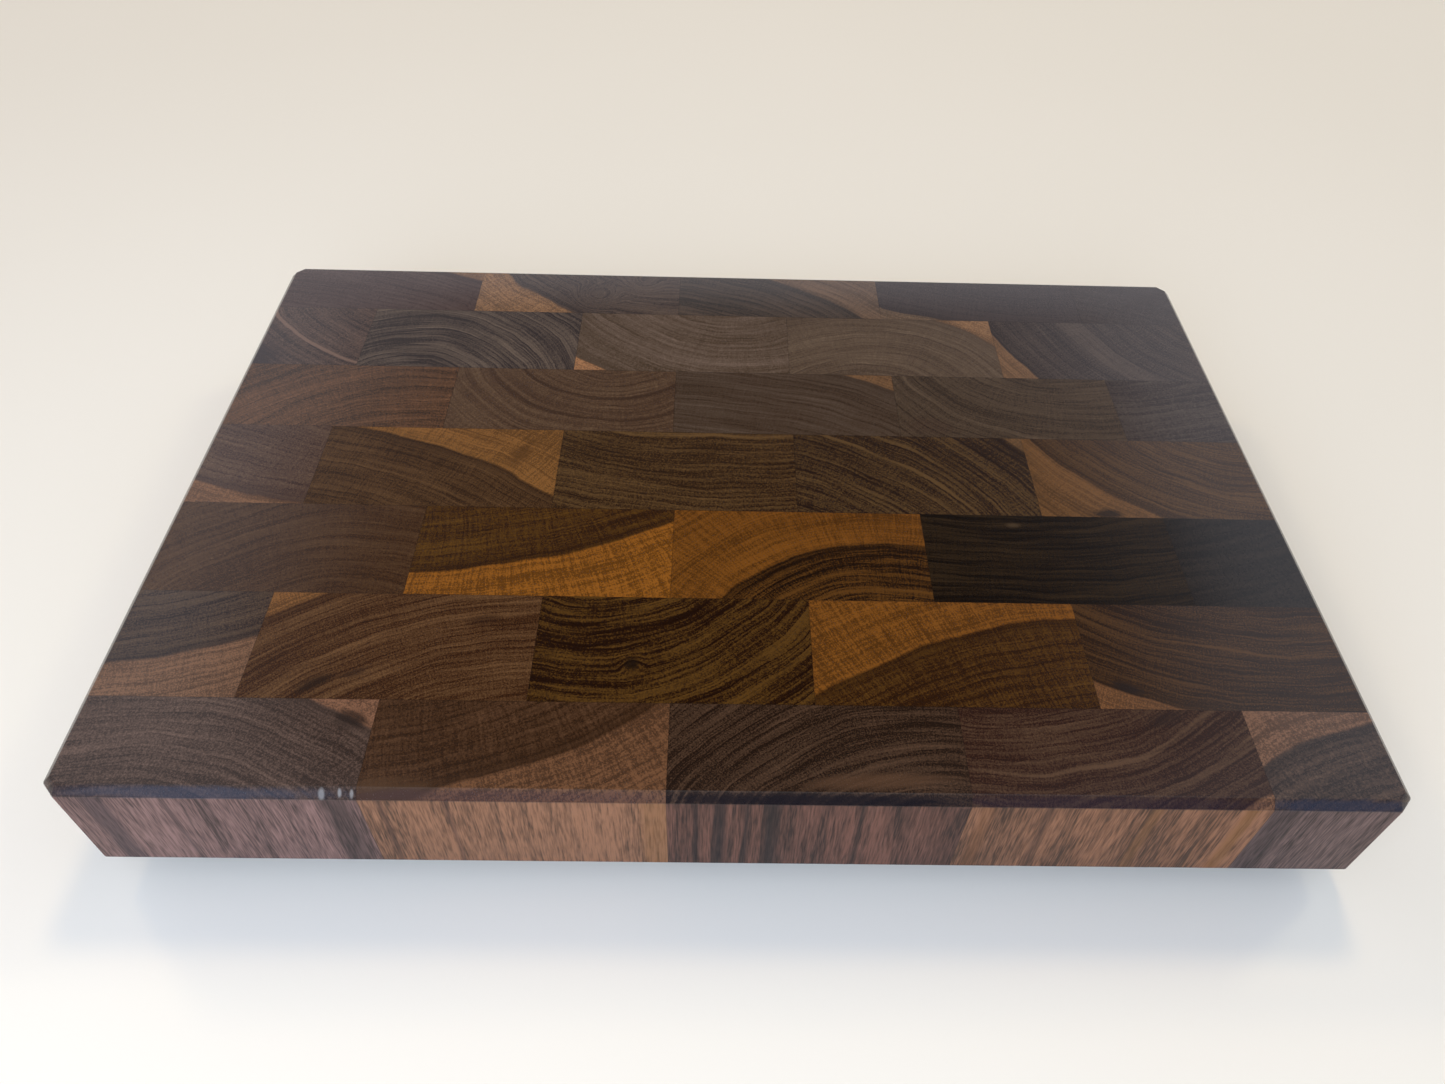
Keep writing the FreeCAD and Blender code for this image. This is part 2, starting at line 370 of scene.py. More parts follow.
# %% Where a point lies in the tree
def in_the_tree(tree, place, name, seed, pith, wave, burls):
    """Grain coordinates in mm from the pith, the ring radius, and coordinates that follow the rings."""
    low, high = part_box(name)
    middle = (low + high) / 2 / MM
    turn = Euler((0, 0, -math.atan2(-pith[1], -pith[0])), "XYZ")
    pivot = Vector((middle.x + pith[0], middle.y + pith[1], high.z / MM))
    grain = add(tree, "Mapping", {
        "Vector": place, "Scale": (1 / MM, 1 / MM, 1 / MM), "Rotation": turn,
        "Location": -(turn.to_matrix() @ pivot),
    }).outputs[0]
    flow = add(tree, "Mapping", {
        "Vector": grain, "Scale": (BEND, BEND, BEND_RUN), "Location": (seed * 3.1, 0, 0),
    })
    bend = add(tree, "TexNoise", {
        "Vector": flow.outputs[0], "Scale": 1.0, "Detail": 3.6, "Roughness": 0.46,
    })
    push = add(tree, "VectorMath", {
        0: bend.outputs["Color"], 1: (wave * 2, wave * 2, 0), 2: (-wave, -wave, 0),
    }, operation="MULTIPLY_ADD")
    bent = add(tree, "VectorMath", {0: grain, 1: push.outputs[0]}, operation="ADD")
    part = add(tree, "SeparateXYZ", {0: bent.outputs[0]})
    flat = add(tree, "CombineXYZ", {0: part.outputs[0], 1: part.outputs[1]})
    radius = add(tree, "VectorMath", {0: flat.outputs[0]}, operation="LENGTH").outputs["Value"]

    # a burl swells or sinks the rings about a point until they close into an eye
    for x, y, wide, swell in burls:
        eye = add(tree, "Mapping", {
            "Vector": place,
            "Scale": (1 / MM / wide, 1 / MM / wide, BURL_RUN / MM / wide),
            "Location": (-(middle.x + x) / wide, -(middle.y + y) / wide,
                         -BURL_RUN * high.z / MM / wide),
        })
        away = add(tree, "VectorMath", {0: eye.outputs[0]}, operation="LENGTH")
        lump = add(tree, "MapRange", {
            "Value": away.outputs["Value"], "From Min": 1.0, "From Max": 0.0,
            "To Min": 0.0, "To Max": swell,
        }, interpolation_type="SMOOTHSTEP")
        radius = add(tree, "Math", {0: radius, 1: lump.outputs[0]}, operation="ADD").outputs[0]
    angle = add(tree, "Math", {0: part.outputs[1], 1: part.outputs[0]}, operation="ARCTAN2")
    arc = add(tree, "Math", {0: angle.outputs[0], 1: math.hypot(*pith)}, operation="MULTIPLY")
    ring = add(tree, "CombineXYZ", {0: radius, 1: arc.outputs[0], 2: part.outputs[2]}).outputs[0]
    return grain, radius, ring


# %% Patterns in the wood
def streaky(tree, seed, vector, scale, detail=2.0, roughness=0.5):
    """Noise drawn out by its scale, and shifted by the seed so that no two blocks are alike."""
    stretched = add(tree, "Mapping", {
        "Vector": vector, "Scale": scale, "Location": (seed * 7.3, 0, seed * 1.7),
    })
    return add(tree, "TexNoise", {
        "Vector": stretched.outputs[0], "Scale": 1.0, "Detail": detail, "Roughness": roughness,
    }).outputs["Fac"]


def patterns_of(tree, seed, grain, radius, ring, year):
    """Broad bands of colour, fine lines, rays, pores and year lines, by name."""
    bands = streaky(tree, seed, ring, (1 / (2.2 * year), 1 / 80, 1 / 150))
    # each ring darkens slowly and then stops short, and the bands set it early or late
    years = add(tree, "Math", {0: bands, 1: 2.2}, operation="MULTIPLY")
    count = add(tree, "Math", {0: radius, 1: 1 / year, 2: years.outputs[0]}, operation="MULTIPLY_ADD")
    within = add(tree, "Math", {0: count.outputs[0]}, operation="FRACT")
    return {
        "bands": bands,
        "lines": streaky(tree, seed, ring, (1 / 2.0, 1 / 60, 1 / 90), roughness=0.6),
        "fine": streaky(tree, seed, ring, (1 / 0.9, 1 / 30, 1 / 50), detail=1.0),
        "late": add(tree, "Math", {0: within.outputs[0], 1: 2.6}, operation="POWER").outputs[0],
        "ray": streaky(tree, seed, ring, (1 / 14, 1 / RAY, 1 / 5)),
        "pore": streaky(tree, seed, grain, (1 / PORE, 1 / PORE, 1 / PORE_RUN), detail=1.5),
    }


# %% Stacking patterns and colouring the sum
AVERAGE = {"bands": 0.5, "lines": 0.5, "fine": 0.5, "late": 0.28, "ray": 0.5, "pore": 0.5}


def stack(tree, level, patterns, amounts):
    """Adds patterns to a level in their amounts, each centred so that the average stays put."""
    level -= sum(amount * AVERAGE[what] for what, amount in amounts.items())
    for what, amount in amounts.items():
        level = add(tree, "Math", {0: patterns[what], 1: amount, 2: level},
                    operation="MULTIPLY_ADD").outputs[0]
    return level


def shades(tree, level, *stops):
    """The colour of a level, read from stops of a position and a colour each."""
    ramp = add(tree, "ValToRGB", {"Fac": level})
    keys = ramp.color_ramp.elements
    keys[0].position, keys[0].color = stops[0]
    keys[1].position, keys[1].color = stops[-1]
    for position, shade in stops[1:-1]:
        keys.new(position).color = shade
    return ramp.outputs["Color"]


# %% [markdown]
# Heartwood runs from a dark colour at the year lines to a light one between
# them. A streak is one ring that stands out, lighter or darker than the rest,
# which is what the eye follows across a block.

# %% Heartwood
HEART_LEVEL = 0.38


def heartwood(tree, radius, patterns, dark, light, depth, rays, streaks):
    """How light each point is, from 0 at a dark year line to 1 on a light streak, and its colour."""
    tone = stack(tree, HEART_LEVEL, patterns, {
        "bands": 0.9 * depth, "lines": 0.9 * depth, "fine": 1.15 * depth,
        "late": -0.3 * depth, "ray": 0.9 * rays, "pore": 1.8,
    })
    for at, width, lift in streaks:
        off = add(tree, "Math", {0: radius, 1: at}, operation="SUBTRACT")
        off = add(tree, "Math", {0: off.outputs[0]}, operation="ABSOLUTE")
        near = add(tree, "MapRange", {
            "Value": off.outputs[0], "From Min": width, "From Max": 0.15 * width,
            "To Min": 0.0, "To Max": lift,
        }, interpolation_type="SMOOTHSTEP")
        tone = add(tree, "Math", {0: tone, 1: near.outputs[0]}, operation="ADD").outputs[0]
    colour = shades(tree, tone, (0.0, linear(dark, 0.7)), (0.17, linear(dark)),
                    (0.77, linear(light)), (1.0, linear(light, 1.3)))
    return tone, colour


# %% [markdown]
# Sapwood is the pale outer wood, and it starts at one ring. Just inside that
# ring the heartwood is at its darkest, which gives the boundary its edge.

# %% Sapwood
SAP_LEVEL = 0.5
RIM = 7.0        # mm of darkened heartwood inside the boundary
BLUR = 0.8       # mm over which the boundary itself blurs


def sapwood(tree, radius, patterns, tone, colour, dark, blonde, sap, rays):
    """Lays sapwood over all that lies beyond the sap radius."""
    rim = add(tree, "MapRange", {
        "Value": radius, "From Min": sap - RIM, "From Max": sap - BLUR, "To Min": 0.0, "To Max": 0.45,
    }, interpolation_type="SMOOTHSTEP")
    colour = add(tree, "Mix", {
        "Factor": rim.outputs[0], 6: colour, 7: linear(dark, 0.75),
    }, data_type="RGBA").outputs[2]
    level = stack(tree, SAP_LEVEL, patterns, {
        "ray": 2.0 * rays, "fine": 1.7, "lines": 0.9, "bands": 1.2, "pore": 3.2,
    })
    pale = shades(tree, level, (0.0, linear(blonde, 0.5)), (1.0, linear(blonde, 1.28)))
    beyond = add(tree, "MapRange", {
        "Value": radius, "From Min": sap - BLUR, "From Max": sap + BLUR,
    }, interpolation_type="SMOOTHSTEP").outputs[0]
    colour = add(tree, "Mix", {"Factor": beyond, 6: colour, 7: pale}, data_type="RGBA").outputs[2]
    tone = add(tree, "Math", {0: beyond, 1: 0.2, 2: tone}, operation="MULTIPLY_ADD").outputs[0]
    return tone, colour


# %% [markdown]
# Knots and smudges don't follow the rings, and neither does the painted light on row one: pale flecks
# that are painted glints, and tints of painted reflection and painted shade along the front chamfer.
# Each is a soft oval, placed in millimetres from the block's middle and frayed by the fine lines, which
# is simpler than painting a picture and needs no image.

# %% Marks
def mark(tree, place, name, lines, colour, x, y, wide, tall, tilt, shade, strength):
    """Lays one soft oval of a colour over the wood."""
    low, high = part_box(name)
    centre = Vector(((low.x + high.x) / 2 + x * MM, (low.y + high.y) / 2 + y * MM, high.z))
    oval = add(tree, "Mapping", {"Vector": place, "Location": -centre})
    oval = add(tree, "Mapping", {
        "Vector": oval.outputs[0], "Rotation": Euler((0, 0, -math.radians(tilt)), "XYZ"),
    })
    size = Vector((1 / MM / wide, 1 / MM / tall, 0.02 / MM / wide))
    oval = add(tree, "VectorMath", {0: oval.outputs[0], 1: size}, operation="MULTIPLY")
    far = add(tree, "VectorMath", {0: oval.outputs[0]}, operation="LENGTH")
    frayed = add(tree, "Math", {0: lines, 1: 0.9, 2: far.outputs["Value"]}, operation="MULTIPLY_ADD")
    spot = add(tree, "MapRange", {
        "Value": frayed.outputs[0], "From Min": 1.45, "From Max": 0.75,
        "To Min": 0.0, "To Max": strength,
    }, interpolation_type="SMOOTHSTEP")
    return add(tree, "Mix", {
        "Factor": spot.outputs[0], 6: colour, 7: linear(shade),
    }, data_type="RGBA").outputs[2]


# %% [markdown]
# The sides of the board are long grain. It drinks less oil, so it stays much
# lighter and drier than the top, and its pores are cut open lengthwise and
# show as short dark dashes. Where the rings cross it they stand as stripes.

# %% Long grain on the sides
COMMON_SIDE = "#634a3b"
SIDE_LIFT = 1.7    # how much lighter than the top a side is
DASHES = 0.6       # how strongly the opened pores show
SIDE_LEVEL = -0.186


def long_grain(tree, place, name, seed, grain, patterns, tone, colour, light, side, stripes):
    """Lays long grain over the faces that look sideways, and says where they are."""
    low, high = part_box(name)
    facing = add(tree, "NewGeometry").outputs["Normal"]
    up = add(tree, "SeparateXYZ", {0: facing}).outputs[2]
    level = add(tree, "Math", {0: up}, operation="ABSOLUTE")
    sideways = add(tree, "MapRange", {
        "Value": level.outputs[0], "From Min": 0.55, "From Max": 0.15,
    }).outputs[0]
    dashes = streaky(tree, seed, grain, (1 / DASH, 1 / DASH, 1 / DASH_RUN))
    along = add(tree, "Math", {0: dashes, 1: DASHES, 2: SIDE_LEVEL}, operation="MULTIPLY_ADD")
    along = add(tree, "Math", {0: tone, 1: along.outputs[0]}, operation="ADD")

    # a block without a colour of its own for its sides gets one between its top's and the common one
    own = linear(side) if side else [
        (top + common) / 2 for top, common in zip(linear(light, SIDE_LIFT), linear(COMMON_SIDE))
    ]
    deep, pale = [[gain * channel for channel in own[:3]] + [1] for gain in (0.32, 1.8)]
    washed = shades(tree, along.outputs[0], (0.0, deep), (1.0, pale))
    across = add(tree, "SeparateXYZ", {0: place}).outputs[0]
    for x, wide, shade, strength in stripes:
        off = add(tree, "Math", {0: across, 1: (low.x + high.x) / 2 + x * MM}, operation="SUBTRACT")
        off = add(tree, "Math", {0: off.outputs[0]}, operation="ABSOLUTE")
        off = add(tree, "Math", {0: patterns["lines"], 1: 1.2 * MM, 2: off.outputs[0]},
                  operation="MULTIPLY_ADD")
        band = add(tree, "MapRange", {
            "Value": off.outputs[0], "From Min": (wide + 1.4) * MM, "From Max": 0.5 * wide * MM,
            "To Min": 0.0, "To Max": strength,
        }, interpolation_type="SMOOTHSTEP")
        washed = add(tree, "Mix", {
            "Factor": band.outputs[0], 6: washed, 7: linear(shade),
        }, data_type="RGBA").outputs[2]
    colour = add(tree, "Mix", {"Factor": sideways, 6: colour, 7: washed}, data_type="RGBA").outputs[2]
    return sideways, colour


# %% [markdown]
# Glue leaves a dark hairline where two blocks meet, and none at the board's
# own edges. The distance to the nearest sawn side is worked out from the
# block's box, so the line stays true without any extra geometry.

# %% Glue lines
GLUE_FULL = 0.06 * MM
GLUE_GONE = 0.2 * MM
PAST_EDGE = 5 * MM   # a board edge counts as this far away, so it gets no line


def glue_lines(tree, place, name, colour):
    """Darkens a hairline along the sawn sides of a block."""
    low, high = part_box(name)
    where = add(tree, "SeparateXYZ", {0: place})
    gaps = []
    for k in (0, 1):
        near = low[k] - (PAST_EDGE if abs(low[k] - board_low[k]) < MM else 0)
        far = high[k] + (PAST_EDGE if abs(high[k] - board_high[k]) < MM else 0)
        off = add(tree, "Math", {0: where.outputs[k], 1: (near + far) / 2}, operation="SUBTRACT")
        off = add(tree, "Math", {0: off.outputs[0]}, operation="ABSOLUTE")
        gap = add(tree, "Math", {0: (far - near) / 2, 1: off.outputs[0]}, operation="SUBTRACT")
        gaps.append(gap.outputs[0])
    gap = add(tree, "Math", {0: gaps[0], 1: gaps[1]}, operation="MINIMUM")
    glue = add(tree, "MapRange", {
        "Value": gap.outputs[0], "From Min": GLUE_GONE, "From Max": GLUE_FULL, "To Max": 0.45,
    })
    return add(tree, "Mix", {
        "Factor": glue.outputs[0], 6: colour, 7: linear("#140c07"),
    }, data_type="RGBA").outputs[2]


# %% [markdown]
# Oil rubbed into end grain leaves a satin. Open pores sit a little lower, and
# the drier sides are far rougher. The index is about that of a drying oil.

# %% Oil, and the whole finish
OIL_INDEX = 1.47
DRY = 0.42         # how much rougher the sides are than the top


def walnut(name, seed, pith, dark, light, year, blonde=None, sap=None, depth=1.0, wave=4.0,
           rays=0.5, streaks=(), burls=(), marks=(), stripes=(), side=None):
    """The finish of one block, with its pith, year lines and sap radius in mm."""
    finish, tree, shader = new_finish("walnut_oiled_" + name)
    place = add(tree, "TexCoord").outputs["Object"]
    grain, radius, ring = in_the_tree(tree, place, name, seed, pith, wave, burls)
    patterns = patterns_of(tree, seed, grain, radius, ring, year)
    tone, colour = heartwood(tree, radius, patterns, dark, light, depth, rays, streaks)
    if sap:
        tone, colour = sapwood(tree, radius, patterns, tone, colour, dark, blonde, sap, rays)
    for each in marks:
        colour = mark(tree, place, name, patterns["lines"], colour, *each)
    sideways, colour = long_grain(
        tree, place, name, seed, grain, patterns, tone, colour, light, side, stripes
    )
    colour = glue_lines(tree, place, name, colour)
    tree.links.new(colour, shader.inputs["Base Color"])
    gloss = add(tree, "MapRange", {
        "Value": patterns["pore"], "From Min": 0.3, "From Max": 0.7, "To Min": 0.28, "To Max": 0.2,
    })
    rough = add(tree, "Math", {0: sideways, 1: DRY, 2: gloss.outputs[0]}, operation="MULTIPLY_ADD")
    tree.links.new(rough.outputs[0], shader.inputs["Roughness"])
    relief = add(tree, "Bump", {
        "Strength": 0.25, "Distance": 0.05 * MM, "Height": patterns["pore"],
    })
    tree.links.new(relief.outputs[0], shader.inputs["Normal"])
    shader.inputs["IOR"].default_value = OIL_INDEX
    return finish


# %% [markdown]
# The blocks are described row by row from the front, left to right. A pith below the block gives rings
# that arch up, and one above it gives rings that sag. The seed only stirs the noise, so that no two
# blocks are alike. On row one the sides show, so those blocks have stripes and a side colour. The last
# mark on each of them is a soft tint along the chamfer, which is partly the chamfer's darker wood and
# partly painted light: painted cool reflection, bluish on blocks one and five and purplish on two and
# four, and painted shade, near black on block three. All places are in mm from the block's middle.

# %% Row one, front
wood = {}


def grow(name, *settings, **details):
    """Gives one block its walnut, seeded by how many came before it."""
    wood[name] = walnut(name, len(wood) + 1, *settings, **details)
    print(name, "walnut with", len(wood[name].node_tree.nodes), "nodes")


grow("row_1_block_1", (-25, -110), "#34261e", "#544238", blonde="#6c4c38", sap=140, year=4.6,
     depth=0.75, side="#664d47",
     # after the first mark, the three pale grey flecks are painted glints on the chamfer
     marks=[(44, 11, 9, 5, -15, "#221812", 0.8), (40.6, -17.3, 1.4, 1.9, 0, "#8c8884", 0.8),
            (46.5, -17.1, 0.9, 1.5, 0, "#8c8884", 0.8), (50.5, -17.1, 0.9, 1.5, 0, "#8c8884", 0.7),
            # painted bluish reflection along the chamfer, over its darker wood
            (-4, -17.4, 64, 2.4, 0, "#3c4250", 0.5)],
     stripes=[(-35, 5, "#2e2428", 0.6), (-12, 1.2, "#241a1a", 0.6), (44, 6, "#2c201e", 0.6)])
grow("row_1_block_2", (-98, 233), "#321e0e", "#4a3220", blonde="#5c3e28", sap=260, year=4.0,
     rays=1.0, depth=0.7, side="#6c4a34",
     # the second mark is painted purplish reflection along the chamfer
     marks=[(-42, -16, 22, 6, 0, "#46301e", 0.7), (0, -17.6, 80, 2.6, 0, "#38242a", 0.35)],
     stripes=[(47, 6, "#7a5228", 0.4), (-44, 1.0, "#38221a", 0.6), (-22, 0.8, "#3c241c", 0.6)])
grow("row_1_block_3", (40, -80), "#22140a", "#443123", year=4.6, depth=0.95, side="#503328",
     # the second mark is painted shade along the chamfer, near black
     marks=[(20, -11, 32, 4, 4, "#523a28", 0.6), (0, -17.6, 80, 2.6, 0, "#080206", 0.85)],
     stripes=[(-33, 3, "#0c060a", 0.7), (-15, 3.5, "#0a0608", 0.75), (-24, 1.2, "#10080a", 0.7),
              (-41, 1.2, "#12080a", 0.7), (15, 0.8, "#140a08", 0.6)])
grow("row_1_block_4", (-35, 110), "#2c170e", "#473324", blonde="#6a4a34", sap=150, year=4.4,
     streaks=[(118, 1.6, 0.4)], side="#6b4832",
     # the second mark is painted purplish reflection along the chamfer
     marks=[(23, 15, 10, 4, 20, "#241610", 0.6), (0, -17.6, 80, 2.6, 0, "#241820", 0.5)],
     stripes=[(44, 3, "#7a5026", 0.6), (12, 2.2, "#704a26", 0.5), (-45, 3, "#6c4426", 0.5),
              (-24, 2, "#2c1a14", 0.5)])
grow("row_1_block_5", (70, -162), "#2c221e", "#4a3a30", blonde="#664a38", sap=184.5, year=3.6,
     depth=0.7, side="#584540",
     # this mark is painted bluish reflection along the chamfer, over its darker wood
     marks=[(0, -17.4, 40, 2.2, 0, "#283042", 0.5)], stripes=[(-20, 6, "#241a1c", 0.5)])

# %% Row two
grow("row_2_block_1", (-52, 189), "#2c201c", "#4c3c2e", blonde="#664a36", sap=202, year=4.8,
     rays=0.4, depth=0.8)
grow("row_2_block_2", (56, -133), "#341c0a", "#563c24", blonde="#6e4a28", sap=179.5, year=3.6,
     depth=0.85, streaks=[(150, 2.0, 0.25), (160, 1.8, 0.2), (134, 2.0, 0.15)],
     marks=[(-25, -17, 10, 3.5, 30, "#1e120a", 0.7), (-12, -13, 7, 2.5, 25, "#2a1a10", 0.6),
            (30, 12, 9, 3, 10, "#2a180c", 0.5)])
grow("row_2_block_3", (-30, 70), "#1f0c02", "#472f10", year=4.6, depth=1.35,
     burls=[(-15, -7, 7, 4)], marks=[(-15, -7, 3.5, 3.5, 0, "#140a04", 0.85)])
grow("row_2_block_4", (71, -194), "#2c1604", "#4a3010", blonde="#663e14", sap=212, year=3.8,
     rays=1.2, depth=0.8)
grow("row_2_block_5", (25, 150), "#221002", "#412a13", blonde="#664428", sap=178.5, year=4.4,
     streaks=[(148, 1.8, 0.2)], marks=[(-38, -15, 8, 3, -20, "#1a100c", 0.8)])

# %% Row three
grow("row_3_block_1", (29, -84), "#36200e", "#4a3420", year=7.0, depth=0.75)
grow("row_3_block_2", (-66, 225), "#301a08", "#4c3210", blonde="#764816", sap=239, year=4.4,
     rays=1.1, depth=0.8)
grow("row_3_block_3", (31, -70), "#1c0c02", "#4a2e0f", blonde="#623b12", sap=77, year=4.4,
     rays=1.0, depth=1.1, streaks=[(61, 1.6, 0.6), (53, 1.5, 0.4)])
grow("row_3_block_4", (-14, 334), "#100600", "#261a0c", year=5.6, depth=1.2,
     marks=[(-13, 18, 5, 2, 0, "#4a3a28", 0.6)])
grow("row_3_block_5", (-90, 300), "#120c08", "#241c16", year=6.5, depth=0.7)

# %% Row four
grow("row_4_block_1", (79, 225), "#3a261e", "#5a4636", blonde="#6c4c34", sap=255.5, year=3.2,
     depth=0.5)
grow("row_4_block_2", (-90, -210), "#34200e", "#523a22", blonde="#6e4a24", sap=239, year=3.8,
     rays=0.9, depth=0.7, marks=[(34, 8, 6, 12, -30, "#422a12", 0.6)])
grow("row_4_block_3", (20, 250), "#2c1a0a", "#503a20", year=2.8, rays=0.25, depth=0.8,
     streaks=[(229, 2.0, 0.4)])
grow("row_4_block_4", (-80, -95), "#24140a", "#4a361e", blonde="#5c4228", sap=171, year=3.0,
     depth=0.95, streaks=[(126, 1.3, 0.5), (136, 1.2, 0.25)])
grow("row_4_block_5", (55, 79), "#301c0a", "#50381e", blonde="#5e4022", sap=115.5, year=4.2,
     depth=0.8, marks=[(-22, -22, 9, 4, 0, "#140c08", 0.85)])

# %% Row five
grow("row_5_block_1", (40, -92), "#3c2818", "#60422c", year=7.0, depth=0.7)
grow("row_5_block_2", (20, 50), "#422e1f", "#584431", year=5.0, depth=0.7,
     streaks=[(50, 1.6, -0.5), (64, 1.6, -0.3)])
grow("row_5_block_3", (-53, -196), "#3a2a1c", "#4a3c30", blonde="#64482e", sap=231.5, year=3.6,
     depth=0.8)
grow("row_5_block_4", (30, 65), "#342619", "#4d3e2f", year=4.4, depth=0.8,
     streaks=[(88, 1.8, 0.3)], marks=[(-38, -14, 16, 8, 0, "#38241a", 0.25)])
grow("row_5_block_5", (-40, 190), "#2e221e", "#443a32", year=5.6, depth=0.7)

# %% Row six
grow("row_6_block_1", (56, 66), "#342824", "#5e4a3f", year=4.4, depth=0.5,
     streaks=[(91, 1.4, 0.9)], marks=[(-26, -16, 30, 18, -40, "#2a2020", 0.85)])
grow("row_6_block_2", (-25, -49), "#342a26", "#584b40", year=4.4, depth=1.2, wave=5.0)
grow("row_6_block_3", (24, 67), "#463626", "#5e4e42", blonde="#8c6444", sap=108, year=4.2,
     depth=0.8, streaks=[(82, 1.6, 0.25)])
grow("row_6_block_4", (-14, -60), "#4a3a2c", "#5e4e3e", blonde="#7c5c40", sap=90.5, year=4.6,
     depth=0.85)
grow("row_6_block_5", (113, 69), "#281e1c", "#4c4038", blonde="#6c5038", sap=173.5, year=9.0,
     depth=0.5, streaks=[(132, 9.0, 0.25)])

# %% Row seven, back
grow("row_7_block_1", (-84, -299), "#3a2822", "#4a3a34", blonde="#72543c", sap=334, year=3.2,
     depth=0.7)
grow("row_7_block_2", (60, 90), "#3a2e28", "#504238", blonde="#7c5c40", sap=124.3, year=3.4,
     wave=7.0, burls=[(9, -4, 16, -22), (32, 8, 14, -9)])
grow("row_7_block_3", (-67, -123), "#342c26", "#4e4036", blonde="#5e4a3a", sap=151, year=4.0,
     depth=0.8)
grow("row_7_block_4", (30, 180), "#332a28", "#433834", blonde="#64503e", sap=205.3, year=8.0,
     depth=0.4)
grow("row_7_block_5", (-100, -250), "#322824", "#403632", year=8.0, depth=0.4)
print("finishes", len(wood))

# %% Put the wood on
for name, block in blocks.items():
    block.data.materials.clear()
    block.data.materials.append(wood[name])
    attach(block, "root")
    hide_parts(name)
print("blocks with their wood", len(blocks))

# %% [markdown]
# ## Feet
# Each foot is a stock bumper: a moulded rubber puck, a little narrower at the
# table, with a deep pocket for the screw head. One is modelled from a cylinder
# by tapering, rounding and pushing the pocket in, which keeps its rings of
# faces even, and it is copied to the four corners.

# %% Sizes of a foot
FOOT_TIP = 11.2 * MM      # radius at the table
FOOT_ROUND = 1.2 * MM
POCKET_RADIUS = 6.4 * MM
POCKET_DEPTH = 7.5 * MM
LIP_ROUND = 0.4 * MM
CLEAR_RADIUS = 2.3 * MM   # of the hole that the screw passes through
SIDES_ROUND = 96
print("foot tip", FOOT_TIP / MM, "pocket", POCKET_RADIUS / MM, "x", POCKET_DEPTH / MM, "mm")


# %% Insets and holes
def inset_to(obj, at, facing, height, radius):
    """Insets the flat face at that height until its rim has that radius."""
    shape = bmesh.from_edit_mesh(obj.data)
    flat = [f for f in shape.faces if f.normal.z * facing > 0.99
            and abs(f.calc_center_median().z - height) < TINY and len(f.verts) > 12]
    now = max((v.co - Vector((at.x, at.y, height))).length for v in flat[0].verts)
    select_faces(obj, lambda f: f.index == flat[0].index)
    bpy.ops.mesh.inset(thickness=(now - radius) * math.cos(math.pi / len(flat[0].verts)), depth=0)


def join_hole(obj, at, radius):
    """Opens the two flat faces of that radius and joins their rims with a wall."""
    def in_hole(v):
        return math.hypot(v.co.x - at.x, v.co.y - at.y) < radius * 1.01
    select_faces(obj, lambda f: abs(f.normal.z) > 0.99 and all(in_hole(v) for v in f.verts))
    bpy.ops.mesh.delete(type="ONLY_FACE")
    select_edges(obj, lambda e: e.is_boundary)
    bpy.ops.mesh.bridge_edge_loops()


# %% Model one foot
foot_low, foot_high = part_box(FEET[0])
axis = (foot_low + foot_high) / 2
foot = start(
    "foot", bpy.ops.mesh.primitive_cylinder_add, vertices=SIDES_ROUND,
    radius=(foot_high.x - foot_low.x) / 2, depth=foot_high.z - foot_low.z, location=axis,
)
select_faces(foot, lambda f: f.normal.z < -0.9)
taper = FOOT_TIP / ((foot_high.x - foot_low.x) / 2)
bpy.ops.transform.resize(value=(taper, taper, 1), center_override=(axis.x, axis.y, foot_low.z))
select_edges(foot, lambda e: abs(e.verts[0].co.z - e.verts[1].co.z) < TINY)
bpy.ops.mesh.bevel(offset=FOOT_ROUND, segments=5, profile=0.5)
inset_to(foot, axis, -1, foot_low.z, POCKET_RADIUS)
bpy.ops.mesh.extrude_region_move(TRANSFORM_OT_translate={"value": (0, 0, POCKET_DEPTH)})
inset_to(foot, axis, -1, foot_low.z + POCKET_DEPTH, CLEAR_RADIUS)
inset_to(foot, axis, 1, foot_high.z, CLEAR_RADIUS)
join_hole(foot, axis, CLEAR_RADIUS)
lip = select_edges(foot, lambda e: all(
    abs(v.co.z - foot_low.z) < TINY
    and abs(math.hypot(v.co.x - axis.x, v.co.y - axis.y) - POCKET_RADIUS) < 10 * TINY
    for v in e.verts))
bpy.ops.mesh.bevel(offset=LIP_ROUND, segments=3, profile=0.5)
bpy.ops.mesh.select_all(action="SELECT")
bpy.ops.mesh.normals_make_consistent(inside=False)
finish_shape(foot)
print("foot faces", len(foot.data.polygons), "lip edges", lip)


# %% Copy it to the corners
def copy_to(model, name, shift):
    """A copy with its own mesh, moved inside its mesh so that its object stays at the origin."""
    twin = model.copy()
    twin.data = model.data.copy()
    twin.name = name
    twin.data.name = name
    twin.data.transform(Matrix.Translation(shift))
    bpy.context.collection.objects.link(twin)
    return twin


feet = {}
for node, at in zip(FEET, foot_places):
    feet[node] = copy_to(foot, node + "_rubber", Vector((at.x - axis.x, at.y - axis.y, 0)))
bpy.data.objects.remove(foot)
print("feet", sorted(feet))

# %% [markdown]
# ## Washers and screws
# A steel washer spreads the screw's pull inside each foot, and a pan-head
# wood screw goes up through both into the board. They are small and mostly
# hidden, yet the bottom of the board shows them, so the head gets its dome,
# its cross and the shank its thread.

